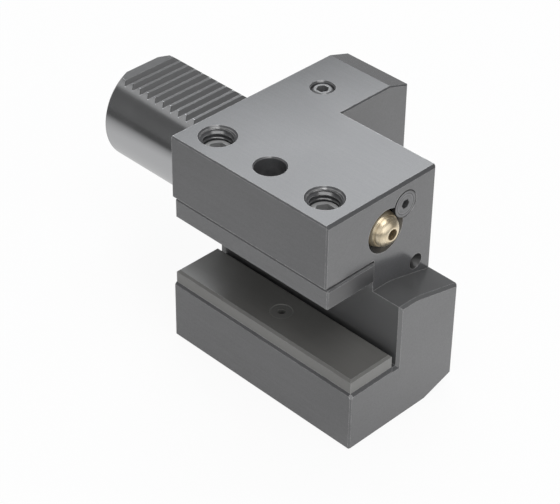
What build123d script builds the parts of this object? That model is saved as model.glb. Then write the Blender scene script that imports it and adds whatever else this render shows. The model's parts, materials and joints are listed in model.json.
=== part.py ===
"""An axial turret tool holder: a 40 mm serrated shank, a flange, and a slot for a square tool.

The origin is where the shank's axis meets the flange's seating face. +X runs along that
axis towards the tool, -Y is the open side of the slot, and +Z is the clamp screws' side.
All sizes are in millimetres.
"""
import os
from math import radians, sqrt, tan

from build123d import *

# Shank with its row of clamping teeth along the top
shank_diameter = 40.0
shank_length = 63.0
shank_end_chamfer = 2.0
crest_height = 16.4
tooth_pitch = 4.0
tooth_depth = 1.35
tooth_angle = 90.0
tooth_root_flat = 0.3
end_land = 4.0
root_land = 12.0
runout_angle = 30.0
centre_hole_diameter = 3.0
centre_cone_diameter = 5.8
centre_hole_depth = 6.5
centre_cone_angle = 60.0

# Flange and jaws, measured from the shank's axis and from the seating face
flange_back_y = 40.5
flange_round_allowance = 1.0
flange_thickness = 28.4
front_reach = 42.5
top_height = 34.5
bottom_depth = 48.0
back_bevel_width = 9.0
back_bevel_drop = 3.0
upper_jaw_length = 70.5
lower_jaw_length = 83.0
back_y = 7.25
foot_bevel_width = 13.2
foot_bevel_rise = 4.2
ledge_drop = 1.5
ledge_flat_width = 8.0
ledge_fall = 4.8
ledge_blend_radius = 20.0
edge_break = 0.5
top_end_break = 1.0

# Slot for a 25 mm tool, or a 20 mm one on the shim
slot_depth = 22.0
seat_depth = 25.0
upper_jaw_height = 23.7
relief_width = 1.6
relief_depth = 0.5
seat_edge_break = 0.8
slot_end_break = 1.0

# Clamp plate and the screws that press it down
plate_setback = 1.0
plate_overhang = 1.0
plate_thickness = 7.5
plate_gap = 0.4
plate_back_clearance = 0.3
plate_edge_break = 0.5
clamp_thread_diameter = 12.0
clamp_screw_length = 20.0
clamp_screw_chamfer = 1.4
clamp_hex_width = 6.0
clamp_hex_depth = 7.0
spot_depth = 0.5
spot_clearance = 0.2
first_screw_x = 10.3
front_screw_setback = 11.8
hole_rim_break = 0.55
small_rim_break = 0.45

# Retaining screw and the spring that lifts the plate
hanger_thread_diameter = 6.0
hanger_head_diameter = 10.0
hanger_head_height = 4.0
hanger_hex_width = 4.0
hanger_hex_depth = 2.2
hanger_point_clearance = 1.0
hanger_hole_diameter = 10.6
hanger_web = 3.0
hanger_hole_clearance = 0.3
spring_length = 7.2
spring_wire = 0.9
spring_mean_diameter = 8.2
spring_turns = 4.0
spring_seat_gap = 0.05

# Shim plate and its screw
shim_thickness = 5.0
shim_edge_break = 0.8
shim_front_setback = 0.8
shim_start_setback = 0.1
shim_end_setback = 1.0
shim_wall_gap = 0.4
shim_thread_diameter = 4.0
shim_screw_head_diameter = 7.4
shim_screw_length = 13.0
shim_head_recess = 0.15
shim_hex_width = 2.5
shim_hex_depth = 2.0

# Swivelling coolant nozzle in the end face of the upper jaw, and its lock screw
nozzle_y = -15.6
nozzle_z = 20.0
ball_diameter = 12.8
ball_depth = 3.3
ball_clearance = 0.4
mouth_diameter = 16.0
nose_reach = 2.9
nose_tip_diameter = 5.0
nose_step = 0.1
nose_bulge = 0.55
nozzle_bore_diameter = 4.0
nozzle_inlet_diameter = 6.0
nozzle_inlet_angle = 60.0
nozzle_seal_mean_diameter = 8.8
nozzle_seal_section = 2.0
lock_y = -6.8
lock_z = 26.1
lock_thread_diameter = 5.0
lock_head_diameter = 9.5
lock_head_clearance = 0.4
lock_hex_width = 3.0
lock_hex_depth = 2.2
lock_screw_length = 12.0
countersink_angle = 90.0

# Coolant channels, their plugs and their seals
inlet_diameter = 5.0
riser_diameter = 6.0
cross_channel_diameter = 5.0
nozzle_channel_diameter = 4.0
channel_x = 12.9
riser_y = 14.5
inlet_z = 25.0
plug_diameter = 8.0
plug_length = 6.0
plug_recess = 0.5
plug_hex_width = 4.0
plug_hex_depth = 3.5
plug_edge_break = 1.0
inlet_gland_diameter = 11.0
inlet_seal_section = 1.8
shank_gland_gap = 1.6
shank_seal_section = 2.4

# Clearances
thread_clearance = 0.05
shim_head_clearance = 0.2
seal_clearance = 0.05
drill_point = 2.0
past_face = 1.0
tolerance = 0.01
seam_turn = 22.5

# Levels and faces that several pieces share
shank_radius = shank_diameter / 2
front_y = -front_reach
slot_back_y = slot_depth - front_reach
screw_row_y = front_y + slot_depth / 2
jaw_underside_z = top_height - upper_jaw_height
plate_top_z = jaw_underside_z - plate_gap
plate_bottom_z = plate_top_z - plate_thickness
plate_length = upper_jaw_length + plate_overhang - plate_setback
front_screw_x = upper_jaw_length - front_screw_setback
hanger_x = (first_screw_x + front_screw_x) / 2
hanger_shoulder_z = jaw_underside_z + hanger_web
hanger_head_z = hanger_shoulder_z + spring_length
shim_bottom_z = -seat_depth
shim_top_z = shim_bottom_z + shim_thickness
shim_front_y = front_y + shim_front_setback
shim_back_y = slot_back_y - relief_width - shim_wall_gap
shim_length = lower_jaw_length - shim_end_setback - shim_start_setback
shim_mid_x = shim_start_setback + shim_length / 2
shim_mid_y = (shim_front_y + shim_back_y) / 2
shim_screw_top_z = shim_top_z - shim_head_recess
nozzle_channel_radius = nozzle_channel_diameter / 2
plug_hole_depth = plug_recess + plug_length + drill_point / 2
nozzle_axis = Axis((upper_jaw_length, nozzle_y, nozzle_z), (1, 0, 0))

# Planes on which holes and round pieces are drawn; local Z leaves the metal
end_face = Plane(origin=(upper_jaw_length, 0, 0), x_dir=(0, 1, 0), z_dir=(1, 0, 0))
seating_face = Plane(origin=(0, 0, 0), x_dir=(0, -1, 0), z_dir=(-1, 0, 0))
shank_end = Plane(origin=(-shank_length, 0, 0), x_dir=(0, -1, 0), z_dir=(-1, 0, 0))
shank_root = Plane(origin=(0, 0, 0), x_dir=Vector(0, 1, 0).rotate(Axis.X, seam_turn),
                   z_dir=(1, 0, 0))
top_face = Plane.XY.offset(top_height)
seat_face = Plane.XY.offset(-seat_depth)
flange_back = Plane(origin=(0, flange_back_y, 0), x_dir=(-1, 0, 0), z_dir=(0, 1, 0))
nozzle_section = Plane(origin=(upper_jaw_length, nozzle_y, nozzle_z), x_dir=(1, 0, 0),
                       z_dir=(0, -1, 0))


def hexagon(width):
    """A hexagon of this width across its flats."""
    return RegularPolygon(radius=width / 2, side_count=6, major_radius=False)


def centred_at(x=None, y=None, z=None):
    """A test for edges whose middle has these coordinates."""
    def test(edge):
        middle = edge.center()
        pairs = ((x, middle.X), (y, middle.Y), (z, middle.Z))
        return all(wanted is None or abs(wanted - found) < tolerance for wanted, found in pairs)
    return test


def behind_jaws(edge):
    """Is this an edge of the flange alone, clear of the jaws?"""
    return edge.center().Y > back_y + tolerance


def by_slot(edge):
    """Does this edge of the lower jaw's end run along the slot or along the ledge?"""
    middle = edge.center()
    in_front = middle.Y < back_y - slot_end_break
    return in_front and middle.Z > -seat_depth - relief_depth - tolerance


def outside(edge):
    """Does this edge of the lower jaw's end run along its front, its foot or its back?"""
    return not by_slot(edge)


def place_on(plane, x, y):
    """The plane's own frame, moved to a point of the plane."""
    return Plane(origin=plane.from_local_coords((x, y, 0)), x_dir=plane.x_dir, z_dir=plane.z_dir)


# The milled and ground body
flange_radius = flange_back_y + flange_round_allowance
arc_top_z = -sqrt(flange_radius**2 - flange_back_y**2)
arc_low_z = -sqrt(flange_radius**2 - back_y**2)
arc_middle = Vector(flange_back_y + back_y, arc_top_z + arc_low_z).normalized() * flange_radius
half_tooth = tooth_depth * tan(radians(tooth_angle / 2)) + tooth_root_flat / 2
tooth_count = int((shank_length - end_land - root_land) / tooth_pitch)
teeth_end_x = -shank_length + end_land + tooth_count * tooth_pitch
runout_x = teeth_end_x + (shank_radius - crest_height) / tan(radians(runout_angle))
shank_gland_depth = shank_seal_section + seal_clearance
shank_gland_width = shank_seal_section + 2 * seal_clearance
pocket_radius = ball_diameter / 2 + ball_clearance
nozzle_gland_radius = (nozzle_seal_mean_diameter + nozzle_seal_section) / 2 + seal_clearance
seal_reach = (ball_diameter + nozzle_seal_section) / 2 + seal_clearance
nozzle_seal_x = -ball_depth - sqrt(seal_reach**2 - (nozzle_seal_mean_diameter / 2) ** 2)
nozzle_gland_x = nozzle_seal_x - nozzle_seal_section / 2 - seal_clearance
pocket_floor_x = -ball_depth - sqrt(pocket_radius**2 - nozzle_gland_radius**2)
channel_end_x = channel_x - upper_jaw_length

with BuildPart() as holder_body:
    # Upper jaw and the web behind the slot
    with BuildSketch(Plane.YZ):
        with Locations((front_y, top_height)):
            Rectangle(back_y - front_y, top_height + seat_depth, align=(Align.MIN, Align.MAX))
    extrude(amount=upper_jaw_length)

    # Flange, round below where nothing is fixed to it
    with BuildSketch(Plane.YZ):
        with BuildLine():
            Polyline((back_y, arc_low_z), (0, arc_low_z), (0, top_height),
                     (flange_back_y - back_bevel_width, top_height),
                     (flange_back_y, top_height - back_bevel_drop), (flange_back_y, arc_top_z))
            ThreePointArc((flange_back_y, arc_top_z), (arc_middle.X, arc_middle.Y), (back_y, arc_low_z))
        make_face()
    extrude(amount=flange_thickness)
    chamfer(edges().filter_by(centred_at(x=flange_thickness)).filter_by(behind_jaws), edge_break)

    # Lower jaw, longer than the upper one, with its sloping ledge
    with BuildSketch(Plane.YZ):
        with BuildLine():
            Polyline((front_y, -ledge_drop), (front_y, -bottom_depth),
                     (back_y - foot_bevel_width, -bottom_depth),
                     (back_y, foot_bevel_rise - bottom_depth), (back_y, -ledge_drop - ledge_fall),
                     (slot_back_y + ledge_flat_width, -ledge_drop), (front_y, -ledge_drop))
        make_face()
        fillet(vertices().sort_by_distance((slot_back_y + ledge_flat_width, -ledge_drop))[0],
               ledge_blend_radius)
    extrude(amount=lower_jaw_length)

    # Tool slot, open at the front and at both ends, and the relief groove in its corner
    with BuildSketch(Plane.YZ):
        with Locations((slot_back_y, jaw_underside_z)):
            Rectangle(slot_depth + past_face, jaw_underside_z + seat_depth, align=(Align.MAX, Align.MAX))
        with Locations((slot_back_y, -seat_depth - relief_depth)):
            Rectangle(relief_width, 2 * relief_depth, align=(Align.MAX, Align.MIN))
    extrude(amount=lower_jaw_length, mode=Mode.SUBTRACT)

    # Outer edges are broken by small chamfers
    chamfer(edges().filter_by(Axis.X).filter_by(centred_at(y=front_y, z=-seat_depth)), seat_edge_break)
    chamfer(edges().filter_by(Axis.Y).filter_by(centred_at(x=upper_jaw_length, z=top_height)),
            top_end_break)
    for level in (top_height, -bottom_depth):
        chamfer(edges().filter_by(Axis.X).filter_by(centred_at(y=front_y, z=level)), edge_break)
    chamfer(edges().filter_by(Axis.Z).filter_by(centred_at(x=upper_jaw_length, y=front_y)), edge_break)
    chamfer(edges().filter_by(Axis.Z).filter_by(centred_at(x=upper_jaw_length, y=back_y)), edge_break)
    chamfer(edges().filter_by(centred_at(x=lower_jaw_length)).filter_by(outside), edge_break)
    chamfer(edges().filter_by(centred_at(x=lower_jaw_length)).filter_by(by_slot), slot_end_break)

    # Shank, its end chamfer and its gland for the ring seal; the seam of its round face is kept
    # beside the teeth
    with BuildSketch(shank_root):
        Circle(shank_radius)
    extrude(amount=-shank_length)
    chamfer(faces().sort_by(Axis.X)[0].edges(), shank_end_chamfer)
    with BuildSketch(Plane.YZ.offset(-shank_gland_gap)):
        Circle(shank_radius)
        Circle(shank_radius - shank_gland_depth, mode=Mode.SUBTRACT)
    extrude(amount=-shank_gland_width, mode=Mode.SUBTRACT)

    # Clamping teeth across the top of the shank
    with BuildSketch(Plane.XZ):
        with BuildLine():
            outline = [(-shank_length - past_face, shank_radius + past_face),
                       (-shank_length - past_face, crest_height)]
            for index in range(tooth_count):
                middle = -shank_length + end_land + half_tooth + index * tooth_pitch
                outline += [(middle - half_tooth, crest_height),
                            (middle - tooth_root_flat / 2, crest_height - tooth_depth),
                            (middle + tooth_root_flat / 2, crest_height - tooth_depth),
                            (middle + half_tooth, crest_height)]
            outline += [(teeth_end_x, crest_height), (runout_x, shank_radius),
                        (runout_x, shank_radius + past_face)]
            Polyline(*outline, close=True)
        make_face()
    extrude(amount=shank_radius, both=True, mode=Mode.SUBTRACT)

    # Centre holes on the shank's axis, in which the body was ground
    with Locations(shank_end, end_face):
        CounterSinkHole(centre_hole_diameter / 2, centre_cone_diameter / 2, centre_hole_depth,
                        centre_cone_angle)

    # Tapped holes for the clamp screws, and the stepped hole between them
    with Locations(*[place_on(top_face, x, screw_row_y) for x in (first_screw_x, front_screw_x)]):
        CounterSinkHole(clamp_thread_diameter / 2 + thread_clearance,
                        clamp_thread_diameter / 2 + thread_clearance + hole_rim_break,
                        upper_jaw_height + past_face, countersink_angle)
    with Locations(place_on(top_face, hanger_x, screw_row_y)):
        CounterBoreHole(hanger_thread_diameter / 2 + hanger_hole_clearance, hanger_hole_diameter / 2,
                        top_height - hanger_shoulder_z, upper_jaw_height + past_face)
        CounterSinkHole(hanger_hole_diameter / 2, hanger_hole_diameter / 2 + small_rim_break,
                        top_height - hanger_shoulder_z, countersink_angle)

    # Tapped hole for the shim's screw
    with Locations(place_on(seat_face, shim_mid_x, shim_mid_y)):
        Hole(shim_thread_diameter / 2 + thread_clearance, shim_screw_length)

    # Pocket for the ball nozzle, its seal's gland and the channel behind it
    with BuildSketch(nozzle_section):
        with BuildLine():
            arc_start = (-ball_depth, pocket_radius)
            arc_end = (pocket_floor_x, nozzle_gland_radius)
            mouth_radius = mouth_diameter / 2
            Polyline((past_face, 0), (past_face, mouth_radius), (0, mouth_radius), arc_start)
            RadiusArc(arc_start, arc_end, -pocket_radius)
            Polyline(arc_end, (nozzle_gland_x, nozzle_gland_radius),
                     (nozzle_gland_x, nozzle_channel_radius), (channel_end_x, nozzle_channel_radius),
                     (channel_end_x, 0), (past_face, 0))
        make_face()
    revolve(axis=nozzle_axis, mode=Mode.SUBTRACT)
    with Locations(place_on(end_face, lock_y, lock_z)):
        CounterSinkHole(lock_thread_diameter / 2 + thread_clearance,
                        lock_head_diameter / 2 + lock_head_clearance,
                        lock_screw_length + drill_point, countersink_angle)

    # Coolant inlet in the seating face, riser under the top plug, cross channel from the back
    with Locations(place_on(seating_face, -riser_y, inlet_z)):
        CounterBoreHole(inlet_diameter / 2, inlet_gland_diameter / 2, inlet_seal_section, channel_x)
    with Locations(place_on(top_face, channel_x, riser_y)):
        Hole(riser_diameter / 2, top_height - nozzle_z + cross_channel_diameter)
        CounterSinkHole(plug_diameter / 2 + thread_clearance,
                        plug_diameter / 2 + thread_clearance + small_rim_break,
                        plug_hole_depth, countersink_angle)
    with Locations(place_on(flange_back, -channel_x, nozzle_z)):
        Hole(cross_channel_diameter / 2, flange_back_y - nozzle_y + nozzle_channel_diameter)
        CounterSinkHole(plug_diameter / 2 + thread_clearance,
                        plug_diameter / 2 + thread_clearance + small_rim_break,
                        plug_hole_depth, countersink_angle)

# The plate that presses on the tool
with BuildPart() as clamp_plate:
    with BuildSketch(Plane.XY.offset(plate_bottom_z)):
        with Locations((plate_setback, front_y)):
            Rectangle(plate_length, slot_depth - plate_back_clearance, align=(Align.MIN, Align.MIN))
    extrude(amount=plate_thickness)
    chamfer(edges(), plate_edge_break)
    spot_radius = clamp_thread_diameter / 2 - clamp_screw_chamfer + spot_depth + spot_clearance
    with Locations((first_screw_x, screw_row_y, plate_top_z), (front_screw_x, screw_row_y, plate_top_z)):
        Hole(spot_radius, spot_depth)
    with Locations((hanger_x, screw_row_y, plate_top_z)):
        Hole(hanger_thread_diameter / 2 + thread_clearance, plate_thickness)


def clamp_screw(x):
    """A set screw that stands in its spot on the clamp plate."""
    bottom_z = plate_top_z - spot_depth
    with BuildPart() as screw:
        with BuildSketch(Plane.XY.offset(bottom_z)):
            with Locations((x, screw_row_y)):
                Circle(clamp_thread_diameter / 2)
        extrude(amount=clamp_screw_length)
        chamfer(edges().filter_by(GeomType.CIRCLE), clamp_screw_chamfer)
        with BuildSketch(Plane.XY.offset(bottom_z + clamp_screw_length)):
            with Locations((x, screw_row_y)):
                hexagon(clamp_hex_width)
        extrude(amount=-clamp_hex_depth, mode=Mode.SUBTRACT)
    return screw


clamp_screw_rear = clamp_screw(first_screw_x)
clamp_screw_front = clamp_screw(front_screw_x)

# Low-headed screw that hangs the clamp plate on its spring
with BuildPart() as hanger_screw:
    with BuildSketch(Plane.XY.offset(plate_bottom_z + hanger_point_clearance)):
        with Locations((hanger_x, screw_row_y)):
            Circle(hanger_thread_diameter / 2)
    extrude(amount=hanger_head_z - plate_bottom_z - hanger_point_clearance)
    with BuildSketch(Plane.XY.offset(hanger_head_z)):
        with Locations((hanger_x, screw_row_y)):
            Circle(hanger_head_diameter / 2)
    extrude(amount=hanger_head_height)
    chamfer(faces().sort_by(Axis.Z)[-1].edges(), edge_break)
    with BuildSketch(Plane.XY.offset(hanger_head_z + hanger_head_height)):
        with Locations((hanger_x, screw_row_y)):
            hexagon(hanger_hex_width)
    extrude(amount=-hanger_hex_depth, mode=Mode.SUBTRACT)

# Lifting spring with ground ends
with BuildPart() as lifting_spring:
    with BuildLine() as coil:
        Helix(pitch=spring_length / spring_turns, height=spring_length,
              radius=spring_mean_diameter / 2, center=(hanger_x, screw_row_y, hanger_shoulder_z))
    with BuildSketch(Plane(origin=coil.line @ 0, z_dir=coil.line % 0)):
        Circle(spring_wire / 2)
    sweep(path=coil.line, is_frenet=True)
    with BuildSketch(Plane.XY.offset(hanger_shoulder_z + spring_seat_gap)):
        with Locations((hanger_x, screw_row_y)):
            Circle(spring_mean_diameter)
    extrude(amount=spring_length - 2 * spring_seat_gap, mode=Mode.INTERSECT)

# Shim that raises a 20 mm tool to the centre height
with BuildPart() as shim_plate:
    with BuildSketch(Plane.XY.offset(shim_bottom_z)):
        with Locations((shim_mid_x, shim_mid_y)):
            Rectangle(shim_length, shim_back_y - shim_front_y)
    extrude(amount=shim_thickness)
    chamfer(faces().sort_by(Axis.Z)[-1].edges(), shim_edge_break)
    with Locations((shim_mid_x, shim_mid_y, shim_top_z)):
        CounterSinkHole(shim_thread_diameter / 2 + shim_head_clearance,
                        shim_screw_head_diameter / 2 + shim_head_recess + thread_clearance,
                        shim_thickness, countersink_angle)


def countersunk_screw(plane, head_diameter, thread_diameter, length, hex_width, hex_depth):
    """A flat-headed screw, its top on the plane and its thread going below it."""
    head_height = (head_diameter - thread_diameter) / 2 / tan(radians(countersink_angle / 2))
    with BuildPart() as screw:
        with BuildSketch(plane):
            Circle(head_diameter / 2)
        extrude(amount=-head_height, taper=countersink_angle / 2)
        with BuildSketch(plane.offset(-head_height)):
            Circle(thread_diameter / 2)
        extrude(amount=head_height - length)
        with BuildSketch(plane):
            hexagon(hex_width)
        extrude(amount=-hex_depth, mode=Mode.SUBTRACT)
    return screw


shim_screw = countersunk_screw(Plane(origin=(shim_mid_x, shim_mid_y, shim_screw_top_z)),
                               shim_screw_head_diameter, shim_thread_diameter, shim_screw_length,
                               shim_hex_width, shim_hex_depth)
nozzle_lock_screw = countersunk_screw(place_on(end_face, lock_y, lock_z), lock_head_diameter,
                                      lock_thread_diameter, lock_screw_length, lock_hex_width,
                                      lock_hex_depth)

# Brass ball with a turned nose, free to swivel in its pocket
ball_radius = ball_diameter / 2
shoulder_radius = sqrt(ball_radius**2 - ball_depth**2)
nose_start = Vector(ball_depth, shoulder_radius - nose_step)
nose_end = Vector(ball_depth + nose_reach, nose_tip_diameter / 2)
nose_outward = (nose_end - nose_start).normalized().rotate(Axis.Z, 90)
nose_middle = (nose_start + nose_end) / 2 + nose_outward * nose_bulge
inlet_step = (nozzle_inlet_diameter - nozzle_bore_diameter) / 2
bore_cone_length = inlet_step / tan(radians(nozzle_inlet_angle / 2))
ball_back_x = -sqrt(ball_diameter**2 - nozzle_inlet_diameter**2) / 2
with BuildPart() as coolant_nozzle:
    ball_section = place_on(nozzle_section, -ball_depth, 0)
    with BuildSketch(ball_section):
        with BuildLine():
            rear = (ball_back_x, nozzle_inlet_diameter / 2)
            ThreePointArc(rear, (0, ball_radius), (ball_depth, shoulder_radius))
            Line((ball_depth, shoulder_radius), nose_start)
            ThreePointArc(nose_start, nose_middle, nose_end)
            Polyline(nose_end, (nose_end.X, nozzle_bore_diameter / 2),
                     (ball_back_x + bore_cone_length, nozzle_bore_diameter / 2), rear)
        make_face()
    revolve(axis=nozzle_axis)


def ring_seal(plane, mean_diameter, section):
    """A round-section ring, its centre at the plane's origin and its axis the plane's X."""
    with BuildPart() as ring:
        with BuildSketch(plane):
            with Locations((0, mean_diameter / 2)):
                Circle(section / 2)
        revolve(axis=Axis(plane.origin, plane.x_dir))
    return ring


nozzle_seal = ring_seal(place_on(nozzle_section, nozzle_seal_x, 0), nozzle_seal_mean_diameter,
                        nozzle_seal_section)
axial_section = Plane(origin=(0, 0, 0), x_dir=(1, 0, 0), z_dir=(0, -1, 0))
shank_seal_x = -shank_gland_gap - shank_gland_width / 2
shank_seal = ring_seal(place_on(axial_section, shank_seal_x, 0), shank_diameter - shank_seal_section,
                       shank_seal_section)
inlet_section = Plane(origin=(inlet_seal_section / 2, riser_y, inlet_z), x_dir=(1, 0, 0),
                      z_dir=(0, -1, 0))
inlet_seal = ring_seal(inlet_section, inlet_gland_diameter - inlet_seal_section - 2 * seal_clearance,
                       inlet_seal_section)


def channel_plug(plane):
    """A headless screw plug, just below the face that the plane lies in."""
    top = plane.offset(-plug_recess)
    with BuildPart() as plug:
        with BuildSketch(top):
            Circle(plug_diameter / 2)
        extrude(amount=-plug_length)
        chamfer(edges().filter_by(GeomType.CIRCLE), plug_edge_break)
        with BuildSketch(top):
            hexagon(plug_hex_width)
        extrude(amount=-plug_hex_depth, mode=Mode.SUBTRACT)
    return plug


riser_plug = channel_plug(place_on(top_face, channel_x, riser_y))
cross_plug = channel_plug(place_on(flange_back, -channel_x, nozzle_z))

pieces = {
    "holder_body": holder_body,
    "clamp_plate": clamp_plate,
    "clamp_screw_rear": clamp_screw_rear,
    "clamp_screw_front": clamp_screw_front,
    "hanger_screw": hanger_screw,
    "lifting_spring": lifting_spring,
    "shim_plate": shim_plate,
    "shim_screw": shim_screw,
    "coolant_nozzle": coolant_nozzle,
    "nozzle_seal": nozzle_seal,
    "nozzle_lock_screw": nozzle_lock_screw,
    "riser_plug": riser_plug,
    "cross_plug": cross_plug,
    "shank_seal": shank_seal,
    "inlet_seal": inlet_seal,
}

os.makedirs("parts", exist_ok=True)
for name, piece in pieces.items():
    piece.part.label = name
    export_step(piece.part, f"parts/{name}.step")
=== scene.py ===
"""Looks of the turret tool holder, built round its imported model. All lengths are in metres."""

import json
from math import ceil, cos, floor, pi, radians, sin

import bmesh
import bpy
from mathutils import Matrix, Vector


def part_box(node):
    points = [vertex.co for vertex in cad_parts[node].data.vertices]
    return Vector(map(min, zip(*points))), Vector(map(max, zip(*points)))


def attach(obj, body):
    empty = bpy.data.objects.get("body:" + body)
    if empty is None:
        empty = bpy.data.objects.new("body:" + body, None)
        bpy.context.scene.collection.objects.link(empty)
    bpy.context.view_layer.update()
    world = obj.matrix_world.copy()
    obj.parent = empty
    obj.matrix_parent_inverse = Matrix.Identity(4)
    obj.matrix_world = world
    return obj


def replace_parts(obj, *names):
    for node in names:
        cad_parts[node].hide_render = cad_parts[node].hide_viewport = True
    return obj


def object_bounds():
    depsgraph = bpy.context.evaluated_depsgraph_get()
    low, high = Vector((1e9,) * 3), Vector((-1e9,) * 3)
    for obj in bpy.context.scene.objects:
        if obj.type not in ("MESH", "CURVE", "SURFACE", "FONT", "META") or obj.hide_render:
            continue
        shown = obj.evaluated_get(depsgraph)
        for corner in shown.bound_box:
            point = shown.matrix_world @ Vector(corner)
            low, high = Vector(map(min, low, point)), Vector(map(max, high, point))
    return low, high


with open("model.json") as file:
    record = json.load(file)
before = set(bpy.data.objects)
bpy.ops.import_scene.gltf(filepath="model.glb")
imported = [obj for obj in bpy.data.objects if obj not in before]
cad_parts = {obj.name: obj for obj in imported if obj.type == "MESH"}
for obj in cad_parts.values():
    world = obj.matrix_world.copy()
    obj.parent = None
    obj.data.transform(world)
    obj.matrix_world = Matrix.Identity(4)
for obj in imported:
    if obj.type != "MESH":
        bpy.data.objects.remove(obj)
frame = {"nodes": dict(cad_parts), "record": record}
cad_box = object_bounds()
nodes = frame["nodes"]
MM = 0.001
WHITE = (1.0, 1.0, 1.0, 1.0)

# The camera, from a fit of the object's corners in the photograph
VIEW_AZIMUTH = 44.752
VIEW_ELEVATION = 36.560
VIEW_ROLL = 0.812
FOCAL_PIXELS = 1941.84
IMAGE_WIDTH = 560
SENSOR_WIDTH = 36.0
CAMERA_PLACE = Vector((396.40, -391.6, 379.3)) * MM
CAMERA_REACH = 20.0

# Thread of the two clamp screws and of their tapped holes
PITCH = 1.75 * MM
SCREW_ROOT = 4.90 * MM
SCREW_CREST = 5.92 * MM
THREAD_CLEARANCE = 0.12 * MM
TAPPED_SKIN = 6.07 * MM
CREST_HALF = 0.0625
ROOT_START = 0.4375
ROWS_PER_PITCH = 8
AROUND = 72
SCREW_END_RADIUS = 4.6 * MM
SOCKET_WIDTH = 6.0 * MM
SOCKET_DEPTH = 7.0 * MM
SOCKET_POINT = 1.6 * MM
JAW_UNDERSIDE = 10.8 * MM
RIM_BREAK = 0.55 * MM
RIM_GAP = 0.01 * MM
MERGE_DISTANCE = 0.0001 * MM
SHARP_ANGLE = radians(28)

# Where nearly all values of a noise lie, and a stretch that starts a little higher
MIDDLE = (0.3, 0.7)
UPPER = (0.35, 0.75)

# A worn edge shows in the cosine between a surface and its rounded copy
EDGE_SHARP = 0.80
EDGE_FLAT = 0.995
EDGE_SAMPLES = 6

# Blackened steel
GRAIN = (60.0, 900.0, 900.0)
GRAIN_COLOUR = (0.38, 0.38, 0.39, 1.0)
GRAIN_SHARE = 0.03
CLOUD_SCALE = 38.0
CLOUD_RANGE = (0.32, 0.68)
PALE = 1.07
DEEP = 0.94
SPECKLE_SCALE = 2600.0
SPECKLE_COLOUR = (0.36, 0.36, 0.37, 1.0)
SPECKLE_SHARE = 0.05
WORN_WIDTH = 0.45 * MM
WORN_PATCHES = 420.0
WORN_RANGE = (0.30, 0.55)
WORN_COLOUR = (0.62, 0.62, 0.62, 1.0)
WORN_METAL = 0.6
CLOUD_ROUGHNESS = 0.03
GRAIN_ROUGHNESS = 0.01
STEEL_IOR = 1.9
STEEL_RELIEF = 0.10
STEEL_DEPTH = 0.006 * MM
SPECKLE_RELIEF = 0.5

# The ground round of the shank and its teeth
SHANK_START = 0.3 * MM
SHANK_SKIN = 19.8 * MM
SHANK_COLOUR = (0.60, 0.605, 0.615, 1.0)
SHANK_RELIEF = 0.1
TOOTH_COLOUR = (0.15, 0.15, 0.152, 1.0)

# The centre hole in the end face, coloured near black as painted shade in its recess
CENTRE_HOLE = (70.5 * MM, 0.0, 0.0)
CENTRE_HOLE_REACH = 4.0 * MM
CENTRE_HOLE_SKIN = 70.4 * MM
CENTRE_HOLE_PAINTED_SHADE = (0.02, 0.02, 0.02, 1.0)
CENTRE_HOLE_ROUGHER = 0.3

# The slot wall and ledge of the body, which lie in shade, lightened as painted light, and the end faces of
# the clamp plate, darkened as painted shade and made rougher
SLOT_LIGHT_LOW = -25.7 * MM
SLOT_LIGHT_HIGH = 10.7 * MM
SLOT_LIGHT_FRONT = -20.6 * MM
SLOT_LIGHT_BACK = 6.9 * MM
SLOT_LIGHT_START = 0.3 * MM
SLOT_PAINTED_LIGHT_COLOUR = (0.112, 0.113, 0.115, 1.0)
END_PAINTED_SHADE_COLOUR = (0.042, 0.042, 0.044, 1.0)
END_ROUGHER = 0.12
END_COSINE = 0.9

# Turned brass
BRASS_DARK = (0.72, 0.60, 0.42, 1.0)
BRASS_LIGHT = (0.85, 0.75, 0.57, 1.0)
BRASS_LINE = (0.40, 0.31, 0.18, 1.0)
BRASS_LINE_RANGE = (0.50, 0.66)
BRASS_LINE_SHARE = 0.7
BRASS_CLOUD = 300.0
BRASS_RINGS = (3000.0, 25.0, 25.0)
BRASS_METAL = 0.85
BRASS_ROUGHNESS = (0.24, 0.38)
BRASS_DEPTH = 0.015 * MM

# The turned head of the lock screw
TURNED_RINGS = 1700.0
TURNED_RING_RANGE = (0.35, 0.65)
TURNED_RING_SHADE = 0.35
TURNED_CLOUD = 500.0
TURNED_CLOUD_COLOUR = (0.30, 0.30, 0.31, 1.0)
TURNED_CLOUD_SHARE = 0.25
TURNED_EDGE = 0.25 * MM
# Painted shade darkens the head's sharp edges towards near black
TURNED_EDGE_SHADE_COLOUR = (0.02, 0.02, 0.02, 1.0)
TURNED_EDGE_SHADE_SHARE = 0.7
TURNED_METAL = 0.35
TURNED_IOR = 1.7
TURNED_ROUGHNESS = (0.24, 0.36)
TURNED_DEPTH = 0.012 * MM
RING_RELIEF = 0.4

# Black nitrile rubber
RUBBER_DARK = (0.012, 0.012, 0.013, 1.0)
RUBBER_LIGHT = (0.03, 0.03, 0.03, 1.0)
RUBBER_CLOUD = 900.0
RUBBER_ROUGHNESS = (0.45, 0.6)
RUBBER_RELIEF = 0.2
RUBBER_DEPTH = 0.01 * MM

# The studio's light by direction: dark but for the camera's side
STUDIO_LIGHT_SIDE = Vector((1.0, -1.0, 0.0)).normalized()
STUDIO_DARK = 0.12
STUDIO_BRIGHT = 0.95
STUDIO_FALLOFF = 2.0

# The floor, and the pool of light that mirrored rays see on it
FLOOR_REACH = 3.0
FLOOR_GLOW = 0.93
FLOOR_COLOUR = (0.93, 0.93, 0.93, 1.0)
FLOOR_GRAIN = 400.0
FLOOR_ROUGHNESS = (0.88, 0.92)
MIRRORED_SLOPE = Vector((1.0, 1.2, 0.0)).normalized()
MIRRORED_DARK_AT = 5 * MM
MIRRORED_BRIGHT_AT = 70 * MM
MIRRORED_DARK = 0.62
POOL_CENTRE = (30 * MM, 0.0, cad_box[0].z)
POOL_INSIDE = 150 * MM
POOL_OUTSIDE = 340 * MM
POOL_DARK = 0.15


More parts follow.
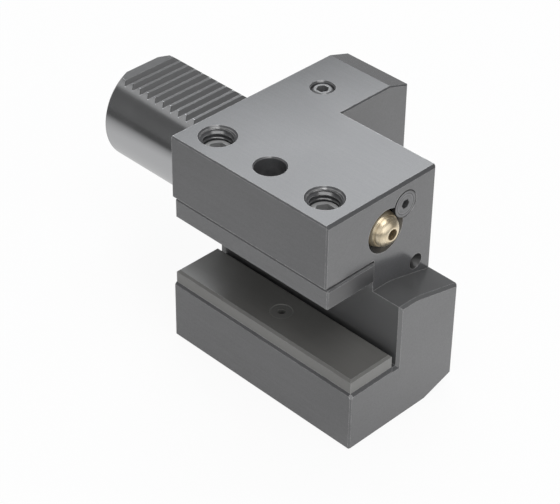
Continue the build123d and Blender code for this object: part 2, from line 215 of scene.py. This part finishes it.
class Nodes:
    """A tree of shader nodes, built from left to right."""

    def __init__(self, tree):
        self.tree = tree

    def add(self, kind, **settings):
        made = self.tree.nodes.new(kind)
        for key, value in settings.items():
            setattr(made, key, value)
        return made

    def link(self, source, target):
        self.tree.links.new(source, target)

    def feed(self, target, value):
        """Links an output to an input, or sets the input to a plain value."""
        if isinstance(value, bpy.types.NodeSocket):
            self.link(value, target)
        else:
            target.default_value = value

    def range(self, value, low, high, to_low=0.0, to_high=1.0):
        """A number carried from one range to another, and held within it."""
        made = self.add("ShaderNodeMapRange")
        self.link(value, made.inputs["Value"])
        limits = (("From Min", low), ("From Max", high), ("To Min", to_low), ("To Max", to_high))
        for key, number in limits:
            made.inputs[key].default_value = number
        return made.outputs["Result"]

    def math(self, operation, first, second=0.0, clamp=False):
        made = self.add("ShaderNodeMath", operation=operation, use_clamp=clamp)
        self.feed(made.inputs[0], first)
        self.feed(made.inputs[1], second)
        return made.outputs["Value"]

    def product(self, first, *others):
        """The numbers multiplied together."""
        for other in others:
            first = self.math("MULTIPLY", first, other)
        return first

    def measure(self, operation, vector, other):
        """The number that a vector operation gives, such as a distance or a dot product."""
        made = self.add("ShaderNodeVectorMath", operation=operation)
        self.link(vector, made.inputs[0])
        self.feed(made.inputs[1], other)
        return made.outputs["Value"]

    def split(self, vector):
        """The X, Y and Z of a vector."""
        made = self.add("ShaderNodeSeparateXYZ")
        self.link(vector, made.inputs["Vector"])
        return tuple(made.outputs)


class Graph(Nodes):
    """The nodes of a new material."""

    def __init__(self, name):
        self.material = bpy.data.materials.new(name)
        self.material.use_nodes = True
        super().__init__(self.material.node_tree)
        self.shader = self.tree.nodes["Principled BSDF"]
        self.place = self.add("ShaderNodeTexCoord").outputs["Object"]

    def surface(self, **values):
        """Feeds the shader's inputs, with their spaces written as underscores."""
        for key, value in values.items():
            self.feed(self.shader.inputs[key.replace("_", " ")], value)

    def stretched(self, scale):
        """The surface's place with each axis scaled."""
        mapping = self.add("ShaderNodeMapping")
        self.link(self.place, mapping.inputs["Vector"])
        mapping.inputs["Scale"].default_value = scale
        return mapping.outputs["Vector"]

    def noise(self, scale, detail, roughness, vector=None):
        made = self.add("ShaderNodeTexNoise")
        self.link(vector or self.place, made.inputs["Vector"])
        made.inputs["Scale"].default_value = scale
        made.inputs["Detail"].default_value = detail
        made.inputs["Roughness"].default_value = roughness
        return made.outputs["Fac"]

    def mix(self, factor, first, second):
        """A colour between two colours."""
        made = self.add("ShaderNodeMix", data_type="RGBA")
        self.feed(made.inputs["Factor"], factor)
        self.feed(made.inputs[6], first)
        self.feed(made.inputs[7], second)
        return made.outputs[2]

    def bump(self, height, strength, distance):
        made = self.add("ShaderNodeBump")
        made.inputs["Strength"].default_value = strength
        made.inputs["Distance"].default_value = distance
        self.link(height, made.inputs["Height"])
        return made.outputs["Normal"]

    def off_axis(self, vector):
        """The distance of a place from the X axis."""
        _, y, z = self.split(vector)
        return self.math("SQRT", self.math("ADD", self.product(y, y), self.product(z, z)))

    def between(self, value, low, high):
        """1 where a number lies between two others, and 0 elsewhere."""
        return self.product(self.math("GREATER_THAN", value, low), self.math("LESS_THAN", value, high))

    def edges(self, radius):
        """1 where the surface turns sharply within this radius, and 0 elsewhere."""
        bevel = self.add("ShaderNodeBevel", samples=EDGE_SAMPLES)
        bevel.inputs["Radius"].default_value = radius
        flat = self.add("ShaderNodeNewGeometry").outputs["Normal"]
        cosine = self.measure("DOT_PRODUCT", bevel.outputs["Normal"], flat)
        return self.range(cosine, EDGE_FLAT, EDGE_SHARP)

    def shank_masks(self):
        """1 on the round of the shank, and 1 on its teeth, each 0 on the rest of the body."""
        x, _, _ = self.split(self.place)
        behind_flange = self.math("LESS_THAN", x, -SHANK_START)
        on_skin = self.math("GREATER_THAN", self.off_axis(self.place), SHANK_SKIN)
        on_round = self.product(behind_flange, on_skin)
        return on_round, self.math("SUBTRACT", behind_flange, on_round)

    def centre_hole(self):
        """1 inside the centre hole of the end face, which gets painted shade, and 0 elsewhere."""
        x, _, _ = self.split(self.place)
        reach = self.measure("DISTANCE", self.place, CENTRE_HOLE)
        return self.product(self.math("LESS_THAN", reach, CENTRE_HOLE_REACH),
                            self.math("LESS_THAN", x, CENTRE_HOLE_SKIN))

    def facing_end(self):
        """1 on flat faces that look along the shank's axis, and 0 elsewhere."""
        x, _, _ = self.split(self.add("ShaderNodeNewGeometry").outputs["True Normal"])
        return self.math("GREATER_THAN", self.math("ABSOLUTE", x), END_COSINE)

    def painted_slot_light(self):
        """1 on the wall of the slot and on the ledge beside it, which get painted light, and 0 elsewhere."""
        x, y, z = self.split(self.place)
        return self.product(self.between(z, SLOT_LIGHT_LOW, SLOT_LIGHT_HIGH),
                            self.between(y, SLOT_LIGHT_FRONT, SLOT_LIGHT_BACK),
                            self.math("GREATER_THAN", x, SLOT_LIGHT_START),
                            self.math("SUBTRACT", 1.0, self.facing_end()))


def shade(colour, factor):
    """A colour made lighter or darker, with its fourth number."""
    return [min(1.0, channel * factor) for channel in colour] + [1.0]


def dark_steel(name, colour, roughness, wear, metal=0.0, ground_and_painted_light=False, painted_shade_on_ends=False, relief=STEEL_RELIEF):
    """Blackened steel: ground in fine lines, cloudy, and rubbed bright along its edges.

    With the first flag, the material is the body's, with its bare ground shank, its teeth, painted shade in
    its centre hole and painted light on its slot wall and ledge. With the second, painted shade darkens the
    piece's end faces, which are also duller.
    """
    graph = Graph(name)
    lines = graph.noise(1.0, 3.0, 0.6, graph.stretched(GRAIN))
    cloud = graph.noise(CLOUD_SCALE, 5.0, 0.55)
    speckle = graph.noise(SPECKLE_SCALE, 2.0, 0.5)
    patches = graph.range(graph.noise(WORN_PATCHES, 3.0, 0.6), *WORN_RANGE)
    rubbed = graph.math("MULTIPLY", graph.edges(WORN_WIDTH), graph.product(patches, wear), clamp=True)

    base = graph.mix(graph.range(cloud, *CLOUD_RANGE), shade(colour, DEEP), shade(colour, PALE))
    base = graph.mix(graph.range(speckle, *UPPER, 0.0, SPECKLE_SHARE), base, SPECKLE_COLOUR)
    base = graph.mix(graph.range(lines, *UPPER, 0.0, GRAIN_SHARE), base, GRAIN_COLOUR)
    rough = graph.math("ADD",
                       graph.range(cloud, *MIDDLE, roughness - CLOUD_ROUGHNESS, roughness + CLOUD_ROUGHNESS),
                       graph.range(lines, *MIDDLE, -GRAIN_ROUGHNESS, GRAIN_ROUGHNESS))
    height = graph.math("ADD", lines, graph.product(speckle, SPECKLE_RELIEF))
    bare = metal
    if ground_and_painted_light:
        shank, teeth = graph.shank_masks()
        # Painted light: the slot wall and ledge, which lie in shade, are given a lighter colour
        base = graph.mix(graph.painted_slot_light(), base, SLOT_PAINTED_LIGHT_COLOUR)
        base = graph.mix(shank, base, SHANK_COLOUR)
        base = graph.mix(teeth, base, TOOTH_COLOUR)
        bare = graph.math("ADD", metal, shank)
        height = graph.product(height, graph.range(shank, 0.0, 1.0, 1.0, SHANK_RELIEF))
    if painted_shade_on_ends:
        # Painted shade: faces that look along the shank's axis are darkened, and they are also made rougher
        ends = graph.facing_end()
        base = graph.mix(ends, base, END_PAINTED_SHADE_COLOUR)
        rough = graph.math("ADD", rough, graph.product(ends, END_ROUGHER))
    base = graph.mix(rubbed, base, WORN_COLOUR)
    if ground_and_painted_light:
        # Painted shade: the centre hole is coloured near black, standing in for the shade in its recess
        hole_shade = graph.centre_hole()
        base = graph.mix(hole_shade, base, CENTRE_HOLE_PAINTED_SHADE)
        rough = graph.math("ADD", rough, graph.product(hole_shade, CENTRE_HOLE_ROUGHER))
    metallic = graph.math("ADD", bare, graph.product(rubbed, WORN_METAL), clamp=True)
    graph.surface(Base_Color=base, Roughness=rough, Metallic=metallic, IOR=STEEL_IOR,
                  Normal=graph.bump(height, relief, STEEL_DEPTH))
    return graph.material


def brass(name):
    """Turned brass, with fine rings round the nozzle's axis."""
    graph = Graph(name)
    cloud = graph.noise(BRASS_CLOUD, 4.0, 0.5)
    rings = graph.noise(1.0, 2.0, 0.6, graph.stretched(BRASS_RINGS))
    base = graph.mix(graph.range(cloud, *MIDDLE), BRASS_DARK, BRASS_LIGHT)
    base = graph.mix(graph.range(rings, *BRASS_LINE_RANGE, 0.0, BRASS_LINE_SHARE), base, BRASS_LINE)
    graph.surface(Base_Color=base, Roughness=graph.range(rings, *MIDDLE, *BRASS_ROUGHNESS),
                  Metallic=BRASS_METAL, Normal=graph.bump(rings, RING_RELIEF, BRASS_DEPTH))
    return graph.material


def turned_steel(name, colour, centre):
    """A blackened screw head, turned in rings round its axis, which runs along X, with painted shade
    darkening its sharp edges.
    """
    graph = Graph(name)
    offset = graph.add("ShaderNodeVectorMath", operation="SUBTRACT")
    graph.link(graph.place, offset.inputs[0])
    graph.feed(offset.inputs[1], centre)
    reach = graph.add("ShaderNodeCombineXYZ")
    graph.link(graph.off_axis(offset.outputs["Vector"]), reach.inputs["X"])
    rings = graph.noise(TURNED_RINGS, 2.0, 0.6, reach.outputs["Vector"])
    cloud = graph.noise(TURNED_CLOUD, 3.0, 0.5)
    # Painted shade: the head's sharp edges are darkened towards near black
    edge_shade = graph.product(graph.edges(TURNED_EDGE), TURNED_EDGE_SHADE_SHARE)
    base = graph.mix(graph.range(rings, *TURNED_RING_RANGE), shade(colour, TURNED_RING_SHADE),
                     shade(colour, 1.0))
    base = graph.mix(graph.range(cloud, *MIDDLE, 0.0, TURNED_CLOUD_SHARE), base, TURNED_CLOUD_COLOUR)
    base = graph.mix(edge_shade, base, TURNED_EDGE_SHADE_COLOUR)
    graph.surface(Base_Color=base, Roughness=graph.range(rings, *MIDDLE, *TURNED_ROUGHNESS),
                  Metallic=TURNED_METAL, IOR=TURNED_IOR,
                  Normal=graph.bump(rings, RING_RELIEF, TURNED_DEPTH))
    return graph.material


def rubber(name):
    """Black nitrile."""
    graph = Graph(name)
    cloud = graph.noise(RUBBER_CLOUD, 3.0, 0.5)
    graph.surface(Base_Color=graph.mix(cloud, RUBBER_DARK, RUBBER_LIGHT),
                  Roughness=graph.range(cloud, *MIDDLE, *RUBBER_ROUGHNESS),
                  Normal=graph.bump(cloud, RUBBER_RELIEF, RUBBER_DEPTH))
    return graph.material


lock_centre = sum(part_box("nozzle_lock_screw"), Vector()) / 2
materials = {
    "body_steel": dark_steel("body_steel", (0.080, 0.0805, 0.084), 0.16, wear=0.9, ground_and_painted_light=True),
    "plate_steel": dark_steel("plate_steel", (0.106, 0.1065, 0.110), 0.19, wear=0.9, painted_shade_on_ends=True),
    "shim_steel": dark_steel("shim_steel", (0.140, 0.138, 0.131), 0.31, wear=0.6, relief=0.015),
    # Painted light: the clamp screws are coloured light to lift their tops, which sit in shade deep in their
    # holes
    "screw_steel": dark_steel("screw_steel", (0.42, 0.42, 0.42), 0.30, wear=0.9),
    "lock_screw_steel": turned_steel("lock_screw_steel", (0.20, 0.20, 0.205), lock_centre),
    "plug_steel": dark_steel("plug_steel", (0.17, 0.17, 0.175), 0.26, wear=0.9),
    "spring_steel": dark_steel("spring_steel", (0.45, 0.45, 0.45), 0.30, wear=0.2, metal=0.9),
    "nozzle_brass": brass("nozzle_brass"),
    "seal_rubber": rubber("seal_rubber"),
}
for entry in frame["record"]["subparts"]:
    piece = nodes[entry["node"]]
    piece.data.materials.clear()
    piece.data.materials.append(materials[entry["material_slot"]])

# The shim's screw is blackened like the shim; the clamp screws' light colour is painted light, lifting tops
# that sit in shade deep in their holes
nodes["shim_screw"].data.materials[0] = dark_steel(
    "blackened_screw_steel", (0.145, 0.144, 0.138), 0.32, wear=0.15)


def ring(centre, radius, z):
    """Points round a vertical axis. The radius is a number or a function of the angle."""
    points = []
    for column in range(AROUND):
        angle = 2 * pi * column / AROUND
        reach = radius(angle) if callable(radius) else radius
        points.append(Vector((centre.x + reach * cos(angle), centre.y + reach * sin(angle), z)))
    return points


def hexagon(angle):
    """The radius of a hexagonal socket at an angle, with its corners at whole steps of 60 degrees."""
    return SOCKET_WIDTH / 2 / cos(angle % radians(60) - radians(30))


def skin(mesh, rings):
    """Joins rings of equal length by quads."""
    rows = [[mesh.verts.new(point) for point in points] for points in rings]
    for low, high in zip(rows, rows[1:]):
        for column in range(AROUND):
            after = (column + 1) % AROUND
            mesh.faces.new((low[column], low[after], high[after], high[column]))
    return rows


def thread(mesh, centre, low, high, root, crest, cut):
    """A right-hand thread round a vertical axis, as rows that climb one pitch a turn.

    cut takes a radius and a height, and gives the radius that is left near the thread's two ends.
    """
    first_turn = floor(low / PITCH) - 1
    last = (ceil(high / PITCH) - first_turn + 1) * ROWS_PER_PITCH
    rows = []
    for row in range(last + 1):
        turn = (row + 0.5) / ROWS_PER_PITCH
        from_crest = abs(turn % 1.0 - 0.5)
        height = min(1.0, max(0.0, (ROOT_START - from_crest) / (ROOT_START - CREST_HALF)))
        line = []
        for column in range(AROUND):
            z = min(high, max(low, PITCH * (first_turn + turn + column / AROUND)))
            angle = 2 * pi * column / AROUND
            reach = cut(root + (crest - root) * height, z)
            line.append(mesh.verts.new((centre.x + reach * cos(angle), centre.y + reach * sin(angle), z)))
        rows.append(line)
    for row in range(last):
        for column in range(AROUND - 1):
            mesh.faces.new((rows[row][column], rows[row][column + 1],
                            rows[row + 1][column + 1], rows[row + 1][column]))
        lower = min(row + ROWS_PER_PITCH, last)
        upper = min(row + ROWS_PER_PITCH + 1, last)
        if lower < upper:
            mesh.faces.new((rows[row][-1], rows[lower][0], rows[upper][0], rows[row + 1][-1]))


def finish_piece(name, mesh, body, slot):
    """Makes an object of the mesh, shaded smooth but for its sharp edges."""
    bmesh.ops.remove_doubles(mesh, verts=mesh.verts, dist=MERGE_DISTANCE)
    bmesh.ops.recalc_face_normals(mesh, faces=mesh.faces)
    data = bpy.data.meshes.new(name)
    mesh.to_mesh(data)
    mesh.free()
    data.materials.append(materials[slot])
    data.polygons.foreach_set("use_smooth", [True] * len(data.polygons))
    data.set_sharp_from_angle(angle=SHARP_ANGLE)
    made = bpy.data.objects.new(name, data)
    bpy.context.scene.collection.objects.link(made)
    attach(made, body)
    return made


def set_screw(node, body):
    """The threaded clamp screw with its hexagonal socket, in place of the plain one."""
    lowest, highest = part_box(node)
    centre = (lowest + highest) / 2
    low, high = lowest.z, highest.z

    def ends(radius, z):
        return min(radius, SCREW_END_RADIUS + z - low, SCREW_END_RADIUS + high - z)

    mesh = bmesh.new()
    thread(mesh, centre, low, high, SCREW_ROOT, SCREW_CREST, ends)
    bottom = high - SOCKET_DEPTH
    rows = skin(mesh, [ring(centre, SCREW_END_RADIUS, high), ring(centre, hexagon, high),
                       ring(centre, hexagon, bottom),
                       ring(centre, SOCKET_POINT, bottom - SOCKET_POINT / 2)])
    mesh.faces.new(rows[-1])
    mesh.faces.new([mesh.verts.new(point) for point in ring(centre, SCREW_END_RADIUS, low)])
    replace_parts(finish_piece(node + "_threaded", mesh, body, "screw_steel"), node)


def tapped_wall(name, node):
    """The thread in the jaw round a clamp screw."""
    lowest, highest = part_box(node)
    centre = (lowest + highest) / 2
    low, high = JAW_UNDERSIDE + RIM_GAP, cad_box[1].z - RIM_BREAK - RIM_GAP

    def ends(radius, z):
        return max(radius, TAPPED_SKIN - (z - low), TAPPED_SKIN - (high - z))

    mesh = bmesh.new()
    thread(mesh, centre, low, high, SCREW_ROOT + THREAD_CLEARANCE, SCREW_CREST + THREAD_CLEARANCE, ends)
    skin(mesh, [ring(centre, TAPPED_SKIN, low), ring(centre, TAPPED_SKIN, high)])
    finish_piece(name, mesh, "root", "body_steel")


set_screw("clamp_screw_rear", "rear_screw")
set_screw("clamp_screw_front", "front_screw")
tapped_wall("tapped_wall_rear", "clamp_screw_rear")
tapped_wall("tapped_wall_front", "clamp_screw_front")

# The camera stands where the photograph's did
azimuth, elevation, roll = (radians(value) for value in (VIEW_AZIMUTH, VIEW_ELEVATION, VIEW_ROLL))
back = Vector((sin(azimuth) * cos(elevation), -cos(azimuth) * cos(elevation), sin(elevation)))
level = Vector((cos(azimuth), sin(azimuth), 0.0))
upright = back.cross(level)
right = cos(roll) * level + sin(roll) * upright
up = cos(roll) * upright - sin(roll) * level
camera_data = bpy.data.cameras.new("camera")
camera_data.sensor_width = SENSOR_WIDTH
camera_data.lens = FOCAL_PIXELS * SENSOR_WIDTH / IMAGE_WIDTH
camera_data.clip_end = CAMERA_REACH
camera = bpy.data.objects.new("camera", camera_data)
camera.matrix_world = Matrix.Translation(CAMERA_PLACE) @ Matrix((right, up, back)).transposed().to_4x4()
bpy.context.scene.collection.objects.link(camera)
bpy.context.scene.camera = camera


def softbox(name, place, target, width, height, watts, colour=(1.0, 1.0, 1.0), side=(0.0, 0.0, 1.0)):
    """A rectangular lamp at a place, turned to a target, its height along a side direction."""
    data = bpy.data.lights.new(name, "AREA")
    data.shape = "RECTANGLE"
    data.size, data.size_y = width, height
    data.energy = watts
    data.color = colour
    lamp = bpy.data.objects.new(name, data)
    lamp.visible_camera = False
    backward = (place - target).normalized()
    across = Vector(side).cross(backward).normalized()
    turned = Matrix((across, backward.cross(across), backward)).transposed().to_4x4()
    lamp.matrix_world = Matrix.Translation(place) @ turned
    bpy.context.scene.collection.objects.link(lamp)


# The lamps. The first is mirrored in the top face, where its edge gives the fall of light.
middle = (cad_box[0] + cad_box[1]) / 2
softbox("top_sheen", Vector((-0.488, 0.546, 1.035)), Vector(), 1.0, 1.0, 7.95,
        colour=(0.95, 0.975, 1.0), side=(0.5, 1.0, 0.0))
softbox("left_strip", middle + Vector((-0.673, -0.555, 0.815)), middle, 0.45, 0.42, 0.20)
softbox("overhead", middle + Vector((0.3, -0.1, 1.1)), middle, 0.8, 0.8, 4.6)
softbox("front_fill", middle + Vector((-0.15, -1.2, 0.25)), middle, 1.3, 0.8, 1.65)
softbox("back_low", Vector((-0.67, 1.02, 0.12)), middle, 0.7, 0.3, 0.2)
softbox("end_fill", middle + Vector((1.2, 0.0, 0.3)), middle, 1.5, 1.1, 4.0)

# The studio gives dim light, more from the camera's side, and is white to the camera itself
world = bpy.data.worlds.new("world")
bpy.context.scene.world = world
world.use_nodes = True
studio = Nodes(world.node_tree)
direction = studio.add("ShaderNodeTexCoord").outputs["Generated"]
ahead = studio.math("MAXIMUM", studio.measure("DOT_PRODUCT", direction, STUDIO_LIGHT_SIDE), 0.0)
light = studio.range(studio.math("POWER", ahead, STUDIO_FALLOFF), 0.0, 1.0, STUDIO_DARK, STUDIO_BRIGHT)
to_camera = studio.add("ShaderNodeLightPath").outputs["Is Camera Ray"]
background = studio.tree.nodes["Background"]
studio.link(studio.math("MAXIMUM", light, to_camera), background.inputs["Color"])

# A plain floor. Rays mirrored in the object see a pool of light on it, darker close in front.
floor_z = cad_box[0].z
floor_mesh = bpy.data.meshes.new("floor")
floor_mesh.from_pydata([(-FLOOR_REACH, -FLOOR_REACH, floor_z), (FLOOR_REACH, -FLOOR_REACH, floor_z),
                        (FLOOR_REACH, FLOOR_REACH, floor_z), (-FLOOR_REACH, FLOOR_REACH, floor_z)],
                       [], [(0, 1, 2, 3)])
floor_piece = bpy.data.objects.new("floor", floor_mesh)
bpy.context.scene.collection.objects.link(floor_piece)
paper = Graph("paper")
paper.surface(Base_Color=FLOOR_COLOUR,
              Roughness=paper.range(paper.noise(FLOOR_GRAIN, 2.0, 0.5), 0.0, 1.0, *FLOOR_ROUGHNESS))
seen = paper.add("ShaderNodeLightPath")
mirrored = paper.math("MAXIMUM", seen.outputs["Is Glossy Ray"], seen.outputs["Is Transmission Ray"])
slope = paper.measure("DOT_PRODUCT", paper.place, MIRRORED_SLOPE)
reach = paper.measure("DISTANCE", paper.place, POOL_CENTRE)
pool = paper.product(paper.range(slope, MIRRORED_DARK_AT, MIRRORED_BRIGHT_AT, MIRRORED_DARK, 1.0),
                     paper.range(reach, POOL_INSIDE, POOL_OUTSIDE, 1.0, POOL_DARK))
glow = paper.math("MAXIMUM", paper.product(seen.outputs["Is Camera Ray"], FLOOR_GLOW), mirrored)
emission = paper.add("ShaderNodeEmission")
paper.link(paper.mix(mirrored, WHITE, pool), emission.inputs["Color"])
blend = paper.add("ShaderNodeMixShader")
paper.link(glow, blend.inputs[0])
paper.link(paper.shader.outputs["BSDF"], blend.inputs[1])
paper.link(emission.outputs["Emission"], blend.inputs[2])
paper.link(blend.outputs["Shader"], paper.tree.nodes["Material Output"].inputs["Surface"])
floor_mesh.materials.append(paper.material)

bpy.context.scene.view_settings.view_transform = "Standard"
